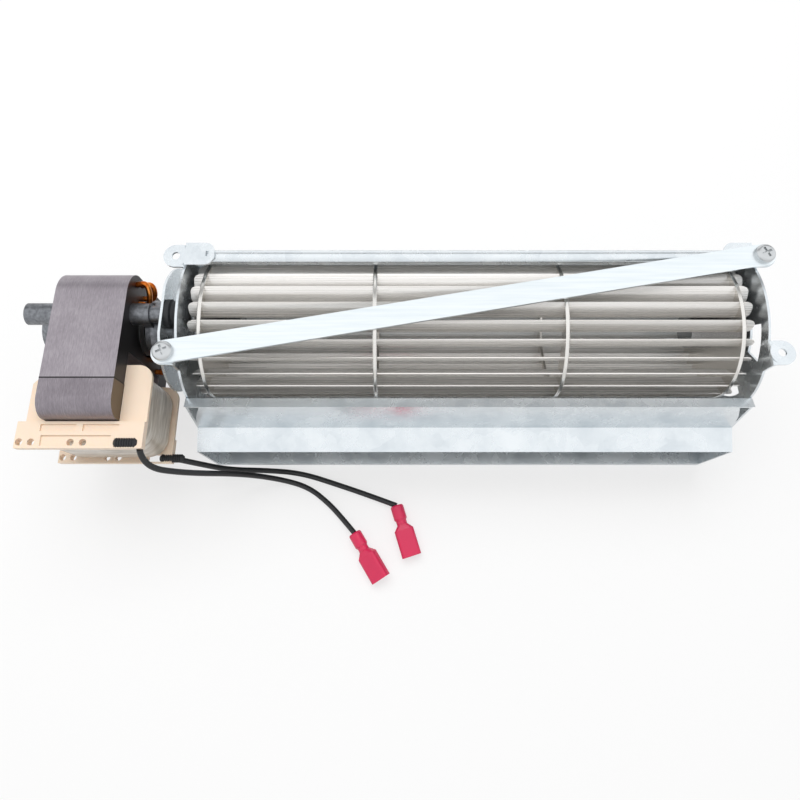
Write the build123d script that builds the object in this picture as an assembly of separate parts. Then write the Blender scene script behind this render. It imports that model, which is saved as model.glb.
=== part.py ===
from build123d import *
from math import sin, cos, tan, radians, degrees, atan2, hypot, acos
import os

os.makedirs("parts", exist_ok=True)

# Tangential blower: sheet casing, drum wheel, shaded-pole motor on its left.
# Drawn about the wheel axis: X along the shaft, -Y towards the outlet, +Z up.
# At export everything shifts so that the origin is the middle of the base.

# Driving dimensions, mm.
half_width = 117.0          # inner faces of the end plates
sheet = 1.0                 # end plate gauge
thin_sheet = 0.8            # scroll and tongue gauge
blade_count = 24
blade_depth = 5.4           # radial depth of a strip
blade_out_r = 29.4
blade_in_r = blade_out_r - blade_depth
rim_wall = 0.8              # metal of a ring outside the strips
wheel_r = blade_out_r + rim_wall
blade_gauge = 0.5
blade_turn = 58             # degrees the blade arc turns through
end_gap = 3.0               # blade ends to the end plates
blade_half_len = half_width - end_gap
ring_half_pitch = (blade_half_len / 3 + 1.0, blade_half_len - 4.0)
ring_gauge = 1.0
rim_width = 2.2
shaft_r = 2.5
running_fit = 0.05          # radial play of shaft in bearing
slip_fit = 0.05             # radial play of pins and screws in plain holes

scroll_start_deg = 51
wheel_gap = 2.0             # wheel to the rolled edge of the scroll
scroll_start_r = wheel_r + wheel_gap
plate_margin = 2.6          # end plate beyond the scroll
plate_arc_r = scroll_start_r + plate_margin
scroll_r1 = 38.0
scroll_r2 = 42.0
scroll_turn = 69            # degrees turned by each of the two scroll arcs
curl_r = 3.2
mouth_y = -52.0
foot_drop = 3.0             # height of the turned-down lip
floor_hole_r = 2.5
floor_hole_x = 68.0
floor_hole_y = -41.0

ear_y = 21.0
ear_top = 32.0
drive_window_r = (20.0, 28.5)
drive_window_half = 36      # degrees either side of its middle
idle_window_r = (21.0, 29.5)
idle_window_first = -28
idle_window_count = 4
idle_window_span = 74
ear_width = 10.0
ear_reach = 9.4
bend_r = 2.2                # outer radius of the ear bend
ear_hole_out = 4.2          # from inner plate face to hole centre
ear_hole_r = 1.65           # tapped M4, core size
strap_gauge = 1.2
strap_width = 9.5
screw_r = 2.0
screw_head_r = 4.0
screw_head_h = 2.6

motor_gap = 23.6            # end plate to the near face of the iron
stack_len = 29.4
stack_x1 = -half_width - motor_gap
stack_x0 = stack_x1 - stack_len
stack_half_h = 29.0
core_back = 17.5
core_joint = -30.2
core_front = -45.2
core_round = 11.0
limb_round = 8.0
window_half_h = 18.6
window_back = -16.5
bore_r = 12.5
air_gap = 0.4
bolt_z = 19.5
bolt_r = 2.0
post_r = 4.6
post_tip_r = 3.55
post_step_x = stack_x1 + 7.8
post_end_x = stack_x1 + 13.3
nose_end_x = stack_x0 - 14.3
mount_gauge = 1.0
mount_disc_r = 27.5
grommet_r = 6.2
grommet_neck_r = 4.45

bobbin_half_h = 18.4
flange_gauge = 1.8
flange_x0 = stack_x0 - 9.8
flange_x1 = stack_x1 + 11.0
flange_back = -22.0
flange_front = -56.4
block_back = -45.8
block_h = 1.9

wire_r = 1.25
thread_top = 0.05           # gap between the wires and the table

plate_in = half_width
plate_out = half_width + sheet
stack_mid = (stack_x0 + stack_x1) / 2


# Shared drawing steps.
def block(x0, x1, y0, y1, z0, z1):
    return Pos((x0 + x1) / 2, (y0 + y1) / 2, (z0 + z1) / 2) * Box(x1 - x0, y1 - y0, z1 - z0)


def rod(x0, x1, r, y=0.0, z=0.0):
    return Pos((x0 + x1) / 2, y, z) * Rot(0, 90, 0) * Cylinder(r, x1 - x0)


def tube(x0, x1, r_out, r_in, y=0.0, z=0.0):
    return rod(x0, x1, r_out, y, z) - rod(x0 - 1, x1 + 1, r_in, y, z)


def profile(edges):
    return make_face(edges)


def along_x(face, x0, x1):
    return extrude(Plane.YZ.offset(x0) * face, x1 - x0)


def polygon_yz(points, x0, x1):
    return along_x(make_face(Polyline(*points, close=True)), x0, x1)


def polar(r, deg):
    return (r * cos(radians(deg)), r * sin(radians(deg)))


def turned(points, y=0.0, z=0.0):
    """Body turned about an X line: points are (x, radius)."""
    face = make_face(Polyline(*[(x, r) for x, r in points], close=True))
    return Pos(0, y, z) * revolve(face, Axis.X)


def group(items):
    return Compound(children=[s for item in items for s in item.solids()])


# Casing: two end plates, scroll wall, tongue, strap and its screws.
def scroll_points():
    a0 = scroll_start_deg
    p0 = polar(scroll_start_r, a0)
    c1 = (p0[0] - scroll_r1 * cos(radians(a0)), p0[1] - scroll_r1 * sin(radians(a0)))
    a1 = a0 - scroll_turn
    p1 = (c1[0] + scroll_r1 * cos(radians(a1)), c1[1] + scroll_r1 * sin(radians(a1)))
    c2 = (p1[0] - scroll_r2 * cos(radians(a1)), p1[1] - scroll_r2 * sin(radians(a1)))
    a2 = a1 - scroll_turn
    return c1, c2, a0, a1, a2


def on_circle(c, r, deg):
    return (c[0] + r * cos(radians(deg)), c[1] + r * sin(radians(deg)))


def scroll_run(grow):
    """Edges of the scroll at a distance outside its inner face, top to mouth."""
    c1, c2, a0, a1, a2 = scroll_points()
    s = on_circle(c1, scroll_r1 + grow, a0)
    m1 = on_circle(c1, scroll_r1 + grow, (a0 + a1) / 2)
    e1 = on_circle(c1, scroll_r1 + grow, a1)
    m2 = on_circle(c2, scroll_r2 + grow, (a1 + a2) / 2)
    e2 = on_circle(c2, scroll_r2 + grow, a2)
    slope = tan(radians(a2 + 90))
    last = (mouth_y, e2[1] + (mouth_y - e2[0]) * slope)
    return s, m1, e1, m2, e2, last


floor_lip_z = scroll_run(0)[5][1]
foot_z = floor_lip_z - thin_sheet - foot_drop


def curl_centre():
    return polar(scroll_start_r + curl_r, scroll_start_deg)


def scroll_back_wall():
    s, m1, e1, m2, e2, f = scroll_run(0)
    so, m1o, e1o, m2o, e2o, fo = scroll_run(thin_sheet)
    edges = [ThreePointArc(s, m1, e1), ThreePointArc(e1, m2, e2), Line(e2, f), Line(f, fo),
             Line(fo, e2o), ThreePointArc(e2o, m2o, e1o), ThreePointArc(e1o, m1o, so), Line(so, s)]
    wall = along_x(profile(edges), -plate_in, plate_in)
    cy, cz = curl_centre()
    ring = Pos(cy, cz) * (Circle(curl_r) - Circle(curl_r - thin_sheet))
    gap = [(cy, cz)] + [on_circle((cy, cz), 9, d) for d in (-39, -84, scroll_start_deg - 180)]
    ring = ring - make_face(Polyline(*gap, close=True))
    curl = along_x(ring, -plate_in, plate_in)
    lip = block(-plate_in, plate_in, mouth_y, mouth_y + thin_sheet, foot_z, floor_lip_z)
    body = wall + curl + lip
    for x in (-floor_hole_x, floor_hole_x):
        body -= Pos(x, floor_hole_y, floor_lip_z) * Cylinder(floor_hole_r, 12)
    return body


tongue_path = [(-33.0, 6.4), (-33.8, 9.7), (-37.8, 10.9), (-41.8, -11.2), (mouth_y, -14.5)]


def offset_path(points, d):
    """Points moved a distance d to the left of the path, mitred at corners."""
    out = []
    for i, p in enumerate(points):
        a = points[i - 1] if i else None
        b = points[i + 1] if i + 1 < len(points) else None
        dirs = [(q[0] - o[0], q[1] - o[1]) for o, q in ((a, p), (p, b)) if o and q]
        normals = [(-v / hypot(u, v), u / hypot(u, v)) for u, v in dirs]
        ny = sum(n[0] for n in normals)
        nz = sum(n[1] for n in normals)
        length = hypot(ny, nz)
        ny, nz = ny / length, nz / length
        scale = d / (ny * normals[0][0] + nz * normals[0][1])
        out.append((p[0] + ny * scale, p[1] + nz * scale))
    return out


def tongue_sheet():
    inner = tongue_path
    outer = offset_path(tongue_path, thin_sheet)
    ledge = polygon_yz(inner[:3] + outer[2::-1], -plate_out, plate_out)
    wall = polygon_yz(inner[2:4] + outer[3:1:-1], -plate_in, plate_in)
    flange = polygon_yz(inner[3:] + outer[:2:-1], -plate_in, plate_in)
    top_z = inner[2][1] - thin_sheet
    for side in (-1, 1):
        notch = Polyline((side * (plate_in - 5.0), top_z), (side * (plate_in - 1.6), top_z - 9),
                         (side * plate_in, top_z - 16), (side * (plate_in + 1), top_z - 16),
                         (side * (plate_in + 1), top_z), close=True)
        cut = extrude(Plane.XZ.offset(30) * make_face(notch), 20)
        wall -= cut
    return ledge + wall + flange


def plate_outline():
    """Side view of an end plate, without its ears, as a face of (y, z)."""
    under = offset_path(tongue_path, thin_sheet)
    path = under[:3] + tongue_path[3:]
    edge_in = (path[1][0] - 0.05, path[1][1] - 0.05)
    start = polar(plate_arc_r, degrees(atan2(edge_in[1], edge_in[0])))
    margin = plate_arc_r - scroll_start_r
    s, m1, e1, m2, e2, last = scroll_run(margin)
    heel = (14.0, foot_z)
    top = polar(plate_arc_r, (degrees(atan2(start[1], start[0])) + scroll_start_deg) / 2)
    c1, c2, a0, a1, a2 = scroll_points()
    leave = a1 - 38
    m2 = on_circle(c2, scroll_r2 + margin, (a1 + leave) / 2)
    e2 = on_circle(c2, scroll_r2 + margin, leave)
    edges = [Line(start, path[1]), Line(path[1], path[2]), Line(path[2], path[3]), Line(path[3], path[4]),
             Line(path[4], (mouth_y, foot_z)), Line((mouth_y, foot_z), heel), Line(heel, e2),
             ThreePointArc(e2, m2, e1), ThreePointArc(e1, m1, s), ThreePointArc(s, top, start)]
    return make_face(edges)


def arc_window(r0, r1, d0, d1):
    mid = (d0 + d1) / 2
    edges = [ThreePointArc(polar(r0, d0), polar(r0, mid), polar(r0, d1)),
             Line(polar(r0, d1), polar(r1, d1)),
             ThreePointArc(polar(r1, d1), polar(r1, mid), polar(r1, d0)),
             Line(polar(r1, d0), polar(r0, d0))]
    return along_x(make_face(edges), -5, 5)


def ear(y):
    """Lug turned outwards over a bend, on a plate whose outer side is +X."""
    top, b = ear_top, bend_r
    k = b * (1 - cos(radians(45)))
    i = b - sheet
    m = sheet + i * (1 - cos(radians(45)))
    flat = ear_reach - ear_width / 2
    edges = [Line((0, 18), (0, top - b)), ThreePointArc((0, top - b), (k, top - k), (b, top)),
             Line((b, top), (flat, top)), Line((flat, top), (flat, top - sheet)),
             Line((flat, top - sheet), (b, top - sheet)),
             ThreePointArc((b, top - sheet), (m, top - m), (sheet, top - b)),
             Line((sheet, top - b), (sheet, 18)), Line((sheet, 18), (0, 18))]
    piece = extrude(Plane.XZ.offset(-y - ear_width / 2) * make_face(edges), ear_width)
    piece += Pos(flat, y, top - sheet / 2) * Cylinder(ear_width / 2, sheet)
    return piece - Pos(ear_hole_out, y, ear_top) * Cylinder(ear_hole_r, 4)


def end_plate_blank():
    """An end plate standing with its inner face on X = 0 and its outer side to +X."""
    blank = along_x(plate_outline(), 0, sheet)
    cy, cz = curl_centre()
    blank += rod(0, sheet, curl_r + 1.0, cy, cz)
    blank += ear(ear_y) + ear(-ear_y)
    saddle = block(-11.5, 0.6, ear_y - 4, ear_y + 6, ear_top - sheet, ear_top)
    saddle = fillet(saddle.edges().filter_by(Axis.Z).sort_by(Axis.X)[:2], 4.0)
    saddle -= Pos(-8.5, ear_y + 1, ear_top) * Box(1.2, 2.4, 4)
    return blank + saddle


def left_end_plate():
    plate = end_plate_blank() - rod(-2, 4, 11.0)
    plate -= rod(-2, 4, grommet_neck_r + slip_fit, 0, bolt_z)
    plate -= rod(-2, 4, grommet_neck_r + slip_fit, 0, -bolt_z)
    for mid in (0, 180):
        plate -= arc_window(*drive_window_r, mid - drive_window_half, mid + drive_window_half)
    return Pos(-plate_in, 0, 0) * mirror(plate, Plane.YZ)


def right_end_plate():
    plate = end_plate_blank() - rod(-2, 4, idle_neck_r + slip_fit)
    for i in range(idle_window_count):
        first = idle_window_first + i * 360 / idle_window_count
        plate -= arc_window(*idle_window_r, first, first + idle_window_span)
    return Pos(plate_in, 0, 0) * plate


def strap_ends():
    x = plate_in + ear_hole_out
    return (-x, -ear_y), (x, ear_y)


def brace_strap():
    (x0, y0), (x1, y1) = strap_ends()
    length = hypot(x1 - x0, y1 - y0)
    turn = degrees(atan2(y1 - y0, x1 - x0))
    bar = Box(length, strap_width, strap_gauge)
    for s in (-1, 1):
        bar += Pos(s * length / 2, 0, 0) * Cylinder(strap_width / 2, strap_gauge)
    for s in (-1, 1):
        bar -= Pos(s * length / 2, 0, 0) * Cylinder(screw_r + slip_fit, 4)
    return Pos((x0 + x1) / 2, (y0 + y1) / 2, ear_top + strap_gauge / 2) * Rot(0, 0, turn) * bar


def cross_head_screw(r, head_r, head_h, length, slot):
    """Pan-head screw, axis along Z, head standing on Z = 0, shank below."""
    head = Cylinder(head_r, head_h, align=(Align.CENTER, Align.CENTER, Align.MIN))
    head = fillet(head.edges().sort_by(Axis.Z)[-1:], head_h * 0.6)
    recess = Box(slot, slot * 0.22, 2.4) + Box(slot * 0.22, slot, 2.4)
    head -= Pos(0, 0, head_h) * recess
    return head + Pos(0, 0, -length / 2) * Cylinder(r, length)


def brace_screws():
    z = ear_top + strap_gauge
    one = cross_head_screw(screw_r, screw_head_r, screw_head_h, 8.0, 4.4)
    return group([Pos(x, y, z) * Rot(0, 0, 25) * one for x, y in strap_ends()])


# Wheel: blades held in slotted discs and rings, on two hubs.
def blade_section():
    """Forward-curved strip: leaves the inner radius outwards, bends to -theta."""
    arc_r = (blade_out_r - blade_in_r) / sin(radians(blade_turn)) * 0.995
    g = blade_gauge / 2
    cy, cz = blade_in_r, -arc_r

    def at(r, t):
        return (cy + r * sin(radians(t)), cz + r * cos(radians(t)))
    t1 = blade_turn
    edges = [ThreePointArc(at(arc_r + g, 0), at(arc_r + g, t1 / 2), at(arc_r + g, t1)),
             Line(at(arc_r + g, t1), at(arc_r - g, t1)),
             ThreePointArc(at(arc_r - g, t1), at(arc_r - g, t1 / 2), at(arc_r - g, 0)),
             Line(at(arc_r - g, 0), at(arc_r + g, 0))]
    return make_face(edges)


def one_blade():
    """A blade with both ends rounded over, as the strip ends are cupped."""
    strip = along_x(blade_section(), -blade_half_len, blade_half_len)
    round_r = (blade_out_r - blade_in_r) / 2
    x = blade_half_len
    lo, hi = blade_in_r - 1.5, blade_out_r + 1.5
    end = [Line((-x + round_r, hi), (x - round_r, hi)),
           ThreePointArc((x - round_r, hi), (x - 0.1, (lo + hi) / 2), (x - round_r, lo)),
           Line((x - round_r, lo), (-x + round_r, lo)),
           ThreePointArc((-x + round_r, lo), (-x + 0.1, (lo + hi) / 2), (-x + round_r, hi))]
    return strip & revolve(make_face(end), Axis.X)


def blade_angles():
    return [i * 360 / blade_count for i in range(blade_count)]


def impeller_blades():
    blade = one_blade()
    return group([Rot(a, 0, 0) * blade for a in blade_angles()])


def ring_blank(x, inner_r):
    """Disc or ring with a beaded rim, pierced by one slot for each blade."""
    g = ring_gauge / 2
    points = [(x - g, inner_r), (x + g, inner_r), (x + g, blade_out_r), (x + rim_width / 2, blade_out_r + 0.25),
              (x + rim_width / 2, wheel_r - 0.3), (x + g, wheel_r), (x - g, wheel_r),
              (x - rim_width / 2, wheel_r - 0.3), (x - rim_width / 2, blade_out_r + 0.25), (x - g, blade_out_r)]
    disc = turned(points)
    slot = along_x(blade_section(), x - 2, x + 2)
    return disc - [Rot(a, 0, 0) * slot for a in blade_angles()]


def middle_rings():
    x = ring_half_pitch[0]
    inner = blade_in_r - 1.2
    return group([ring_blank(-x, inner), ring_blank(x, inner)])


def drive_end_disc():
    return ring_blank(-ring_half_pitch[1], hub_neck_r)


def idle_end_disc():
    return ring_blank(ring_half_pitch[1], hub_neck_r)


hub_neck_r = 5.0
hub_r = 8.0
hub_len = 11.0


def hub(x_disc, inward):
    """Turned collar pressed into the disc; its flange lies on the inner side."""
    g = ring_gauge / 2
    pts = [(-g, shaft_r), (g + hub_len, shaft_r), (g + hub_len, hub_r), (g, hub_r), (g, hub_neck_r), (-g, hub_neck_r)]
    return turned([(x_disc + inward * x, r) for x, r in pts])


set_x = -ring_half_pitch[1] + 6.5


def drive_hub():
    body = hub(-ring_half_pitch[1], 1)
    return body - Pos(set_x, 0, (hub_r + shaft_r) / 2) * Cylinder(1.5, hub_r - shaft_r + 0.4)


def hub_set_screw():
    """Grub screw in the hub, standing on the shaft, with a hexagon socket."""
    length = 6.2
    screw = Pos(set_x, 0, shaft_r + length / 2) * Cylinder(1.5, length)
    return screw - Pos(set_x, 0, shaft_r + length) * extrude(RegularPolygon(0.85, 6), 1.6, both=True)


def idle_hub():
    return hub(ring_half_pitch[1], -1)


def stub_shaft():
    return rod(ring_half_pitch[1] - hub_len - 0.5, idle_face_x + 9.5, shaft_r)


def motor_shaft():
    return rod(nose_end_x + 1.5, -ring_half_pitch[1] + hub_len + 0.5, shaft_r)


# Bearing of the free end, in a rubber mount in the right plate.
idle_neck_r = 9.0
idle_face_x = plate_in - 2.4
bearing_r = 6.0
bearing_half = 3.5


def bush(x):
    """Self-aligning sintered bush: a ball cut flat at both ends."""
    ball = Pos(x, 0, 0) * Sphere(bearing_r)
    ball &= rod(x - bearing_half, x + bearing_half, bearing_r + 1)
    return ball - rod(x - 6, x + 6, shaft_r + running_fit)


def idle_rubber_mount():
    x0 = idle_face_x
    pts = [(x0, 4.4), (x0, 10.6), (x0 + 0.6, 11.4), (plate_in, 11.4), (plate_in, idle_neck_r),
           (plate_out, idle_neck_r), (plate_out, 11.4), (plate_out + 2.2, 10.6), (plate_out + 3.2, 8.6), (plate_out + 3.2, 4.4)]
    body = turned(pts)
    return body - Pos(idle_bearing_x, 0, 0) * Sphere(bearing_r + 0.02)


idle_bearing_x = plate_in + 0.9


def idle_bearing():
    return bush(idle_bearing_x)


# Motor iron, copper loops and rotor.
def motor_c_core():
    r = core_round
    h = stack_half_h
    b = core_back
    k = r * (1 - cos(radians(45)))
    wh, wb, j = window_half_h, window_back, core_joint
    edges = [Line((j, h), (b - r, h)), ThreePointArc((b - r, h), (b - k, h - k), (b, h - r)),
             Line((b, h - r), (b, -h + r)), ThreePointArc((b, -h + r), (b - k, -h + k), (b - r, -h)),
             Line((b - r, -h), (j, -h)), Line((j, -h), (j, -wh)), Line((j, -wh), (wb, -wh)),
             Line((wb, -wh), (wb, wh)), Line((wb, wh), (j, wh)), Line((j, wh), (j, h))]
    core = along_x(make_face(edges), stack_x0, stack_x1)
    core -= rod(stack_x0 - 1, stack_x1 + 1, bore_r)
    for s in (-1, 1):
        core -= rod(stack_x0 - 1, stack_x1 + 1, bolt_r + slip_fit, 0, s * bolt_z)
    for y, z in shading_legs():
        core -= rod(stack_x0 - 1, stack_x1 + 1, shade_r + 0.02, y, z)
    return core


def motor_i_core():
    r = limb_round
    h = stack_half_h
    j, f = core_joint, core_front
    k = r * (1 - cos(radians(45)))
    edges = [Line((j, h), (f + r, h)), ThreePointArc((f + r, h), (f + k, h - k), (f, h - r)),
             Line((f, h - r), (f, -h + r)), ThreePointArc((f, -h + r), (f + k, -h + k), (f + r, -h)),
             Line((f + r, -h), (j, -h)), Line((j, -h), (j, h))]
    return along_x(make_face(edges), stack_x0, stack_x1)


shade_r = 1.35
shade_out = 4.6             # how far the loops stand off the stack faces
shade_pairs = (((6.6, 14.8), (13.0, 20.4)), ((1.6, 26.0), (8.4, 24.6)))


def shading_legs():
    legs = []
    for (y0, z0), (y1, z1) in shade_pairs[:1]:
        legs += [(y0, z0), (y1, z1), (-y0, -z0), (-y1, -z1)]
    legs += [(second_loop[0]), (second_loop[1])]
    legs += [(-second_loop[0][0], -second_loop[0][1]), (-second_loop[1][0], -second_loop[1][1])]
    return legs


second_loop = ((10.8, 10.4), (15.2, 14.6))


def shading_loop(p, q):
    """Closed copper loop: two legs through the iron and a bar across each face."""
    loop = Compound()
    x0, x1 = stack_x0 - shade_out, stack_x1 + shade_out
    pts = [(x0, *p), (x1, *p), (x1, *q), (x0, *q)]
    parts = [rod(x0, x1, shade_r, *p), rod(x0, x1, shade_r, *q)]
    length = hypot(q[0] - p[0], q[1] - p[1])
    turn = degrees(atan2(q[1] - p[1], q[0] - p[0]))
    for x in (x0, x1):
        bar = Rot(turn, 0, 0) * Rot(90, 0, 0) * Cylinder(shade_r, length)
        parts.append(Pos(x, (p[0] + q[0]) / 2, (p[1] + q[1]) / 2) * bar)
    for x, y, z in pts:
        parts.append(Pos(x, y, z) * Sphere(shade_r))
    solid = parts[0]
    for item in parts[1:]:
        solid = solid + item
    return solid


def shading_rings():
    loops = []
    for p, q in (shade_pairs[0], second_loop):
        loops.append(shading_loop(p, q))
        loops.append(shading_loop((-p[0], -p[1]), (-q[0], -q[1])))
    return group(loops)


rotor_end = 2.5


def rotor_core():
    return tube(stack_x0 + rotor_end, stack_x1 - rotor_end, bore_r - air_gap, shaft_r)


def rotor_end_rings():
    r_out, r_in = bore_r - air_gap - 0.6, 6.5
    a = tube(stack_x0, stack_x0 + rotor_end, r_out, r_in)
    b = tube(stack_x1 - rotor_end, stack_x1, r_out, r_in)
    return group([a, b])


# Bobbin and coil on the front limb of the iron.
limb_fit = 0.1


def flange_sketch():
    x0, x1 = flange_x0, flange_x1
    yb, yf, ym = flange_back, flange_front, block_back
    edges = [Line((x0 + 9.5, yb), (x1 - 6, yb)), ThreePointArc((x1 - 6, yb), (x1 - 1.76, yb - 1.76), (x1, yb - 6)),
             Line((x1, yb - 6), (x1, yf)), Line((x1, yf), (x0, yf)), Line((x0, yf), (x0, ym)),
             Line((x0, ym), (x0 + 2.2, ym)), Line((x0 + 2.2, ym), (x0 + 2.2, yb - 8)),
             Line((x0 + 2.2, yb - 8), (x0 + 9.5, yb))]
    return make_face(edges)


def coil_bobbin():
    h, g = bobbin_half_h, flange_gauge
    flange = extrude(Plane.XY.offset(h - g) * flange_sketch(), g)
    rim = block(flange_x0, flange_x1, flange_front, block_back, h - 0.01, h + block_h)
    a, b, f = flange_x0, flange_x1, flange_front
    pocket = h + block_h - 0.8
    rim -= block(a + 9.2, a + 23.3, f + 6.7, f + 9.5, pocket, h + 5)
    rim -= block(a + 26.0, a + 40.3, f + 6.7, f + 9.5, pocket, h + 5)
    rim -= block(a + 10.0, a + 37.5, f + 1.0, f + 5.1, pocket, h + 5)
    top = flange + rim
    for x in (1.8, 6.5, 21.6, 26.5):
        top -= Pos(a + x, f + 2.4, h) * Cylinder(1.4, 12)
    top -= block(b - 11.1, b - 3.8, f + 0.5, f + 3.8, h - g - 1, h + 5)
    both = top + mirror(top, Plane.XY)
    f = limb_fit
    sleeve = block(stack_x0 - 1.4, stack_x1 + 1.4, core_front - 1.4, core_joint + 1.4, -h, h)
    both += sleeve
    return both - block(stack_x0 - f, stack_x1 + f, core_front - f, core_joint + f, -h - 9, h + 9)


def coil_winding():
    h = bobbin_half_h - flange_gauge
    x0, x1 = flange_x0 + 4.0, flange_x1 - 1.6
    y0, y1 = flange_front + 2.0, flange_back - 1.4
    coil = block(x0, x1, y0, y1, -h, h)
    coil = fillet(coil.edges().filter_by(Axis.Z), 8.0)
    coil = fillet(coil.edges().group_by(Axis.Z)[-1] + coil.edges().group_by(Axis.Z)[0], 3.0)
    return coil - block(stack_x0 - 1.4, stack_x1 + 1.4, core_front - 1.4, core_joint + 1.4, -h - 1, h + 1)


# Die-cast brackets, their bearings, and what bolts the motor to the casing.
def bracket(face_x, out, tip_x, cone_len):
    """Die-cast bridge: cone with the bearing seat and a bored post at each end."""
    base = face_x + out * 0.0
    x1 = face_x + out * cone_len
    foot = face_x + out * 3.0
    pts = [(foot, cone_r), (foot + out * 2.2, cone_r), (x1, 9.6), (x1, 4.6), (x1 - out * 1.6, 4.6),
           (x1 - out * 1.6, bearing_r + 0.03), (x1 - out * 9.0, bearing_r + 0.03), (x1 - out * 9.0, 8.0),
           (foot, cone_r - 2.0)]
    cone = turned(pts)
    for y in (-1, 1):
        cone -= block(min(foot, x1) - 1, max(foot, x1) - 0.1 if out < 0 else max(foot, x1) - 3.2,
                      y * 14 - 5, y * 14 + 5, -6.5, 6.5)
    web = block(min(foot, foot + out * 3.6), max(foot, foot + out * 3.6), -3.6, 3.6, 10.0, bolt_z)
    body = cone
    for s in (-1, 1):
        body += web if s > 0 else mirror(web, Plane.XY)
        body += rod(min(base, tip_x), max(base, tip_x), post_r, 0, s * bolt_z)
    return body


def bearing_x(face_x, out, cone_len):
    return face_x + out * (cone_len - 1.6 - bearing_half - 0.1)


drive_cone = 14.0
cone_r = 13.2               # clears the copper loops
outer_cone = 13.6


def drive_side_bracket():
    body = bracket(stack_x1, 1, post_step_x, drive_cone)
    for s in (-1, 1):
        body += rod(post_step_x - 0.1, post_end_x, post_tip_r, 0, s * bolt_z)
        body -= rod(stack_x1 - 1, post_end_x + 1, bolt_r, 0, s * bolt_z)
    return body - rod(stack_x1 - 1, stack_x1 + 40, 4.0)


def outer_side_bracket():
    body = bracket(stack_x0, -1, nose_end_x, outer_cone)
    for s in (-1, 1):
        body -= rod(nose_end_x + 3.0, stack_x0 + 1, bolt_r, 0, s * bolt_z)
    return body


def drive_side_bearing():
    return bush(bearing_x(stack_x1, 1, drive_cone))


def outer_side_bearing():
    return bush(bearing_x(stack_x0, -1, outer_cone))


def bearing_retainers():
    """Sprung washers that hold each bush against its seat."""
    out = []
    for face_x, side, cone in ((stack_x1, 1, drive_cone), (stack_x0, -1, outer_cone)):
        seat = bearing_x(face_x, side, cone) - side * bearing_half
        a, b = seat - side * 1.0, seat - side * 0.2
        out.append(tube(min(a, b), max(a, b), bearing_r, 3.4))
    return group(out)


def stack_bolts():
    """Studs through the iron, from the outer bracket into the drive-side posts."""
    a, b = nose_end_x + 3.5, post_step_x + 1.0
    return group([rod(a, b, bolt_r - slip_fit, 0, s * bolt_z) for s in (-1, 1)])


def motor_mount_plate():
    x0 = post_end_x
    disc = rod(x0, x0 + mount_gauge, mount_disc_r)
    disc &= block(x0, x0 + mount_gauge, -40, 40, -25.5, 25.5)
    disc -= rod(x0 - 1, x0 + 2, 12.5)
    for s in (-1, 1):
        disc -= rod(x0 - 1, x0 + 2, bolt_r + slip_fit, 0, s * bolt_z)
    return disc


def motor_grommets():
    x0 = post_end_x + mount_gauge
    r, n = grommet_r, grommet_neck_r
    mid = (x0 - plate_out) / 2
    pts = [(x0, bolt_r + slip_fit), (x0, r - 0.4), (x0 + 0.4, r), (x0 + 2.2, r), (x0 + 2.8, r - 1.0), (mid - 0.4, r - 1.0),
           (mid + 0.2, r), (mid + 1.8, r), (mid + 2.4, r - 1.0), (-plate_out - 1.2, r - 1.0), (-plate_out - 0.8, r),
           (-plate_out, r), (-plate_out, n), (-plate_in, n), (-plate_in, r), (-plate_in + 1.0, r),
           (-plate_in + 1.5, r - 0.5), (-plate_in + 1.5, bolt_r + slip_fit)]
    one = turned(pts)
    return group([Pos(0, 0, s * bolt_z) * one for s in (-1, 1)])


def motor_mount_screws():
    head_x = -plate_in + 1.5
    length = head_x - (post_step_x + 1.6)
    one = cross_head_screw(bolt_r, 3.5, 2.3, length, 3.6)
    one = Rot(0, 90, 0) * one
    return group([Pos(head_x, 0, s * bolt_z) * one for s in (-1, 1)])


# Leads and their push-on terminals.
def turn_angle(a, b, c):
    u = [b[i] - a[i] for i in range(3)]
    v = [c[i] - b[i] for i in range(3)]
    lu = sum(k * k for k in u) ** 0.5
    lv = sum(k * k for k in v) ** 0.5
    cosine = sum(p * q for p, q in zip(u, v)) / (lu * lv)
    return acos(max(-1, min(1, cosine))), lu, lv


def lead(name, points, r):
    """Round wire along straight runs joined by tangent arcs."""
    radii = []
    for a, b, c in zip(points, points[1:], points[2:]):
        t, lu, lv = turn_angle(a, b, c)
        radii.append(0.45 * min(lu, lv) / tan(t / 2))
    route = FilletPolyline(*points, radius=radii)
    start = Plane(origin=route @ 0, z_dir=route % 0)
    body = sweep(start * Circle(r), path=route)
    print(name, "length", round(route.length, 1), "radii", [round(q, 1) for q in radii],
          "volume ratio", round(body.volume / (3.14159265 * r * r * route.length), 4))
    return body


table = foot_z
low = table + wire_r + thread_top
plug_axis = table + 3.2      # height of a terminal lying flat
plug_axis_rolled = table + 4.0

lead_x = flange_x1            # the leads are laid out from the bobbin
lead_a_run = [(-1.8, flange_front, 17.3), (-1.4, -62.6, 12.6), (10.6, -63.0, -1.5), (30.1, -59.6, -28.0),
              (45.1, -59.6, low + 0.6), (57.1, -63.2, low), (66.6, -70.4, low), (73.6, -77.6, low + 0.9),
              (79.6, -84.4, plug_axis_rolled)]
lead_b_run = [(0.0, -54.2, -17.6), (8.6, -55.8, -20.0), (20.6, -56.6, -36.0), (35.6, -54.9, low + 0.2),
              (53.1, -56.2, low), (72.2, -62.2, low), (88.1, -67.6, low + 0.8), (99.4, -71.8, plug_axis)]
lead_a_points = [(lead_x + x, y, z) for x, y, z in lead_a_run]
lead_b_points = [(lead_x + x, y, z) for x, y, z in lead_b_run]
plug_a_tip = (lead_x + 92.4, -104.9)
plug_b_tip = (lead_x + 106.6, -94.8)
plug_len = 24.0


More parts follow.
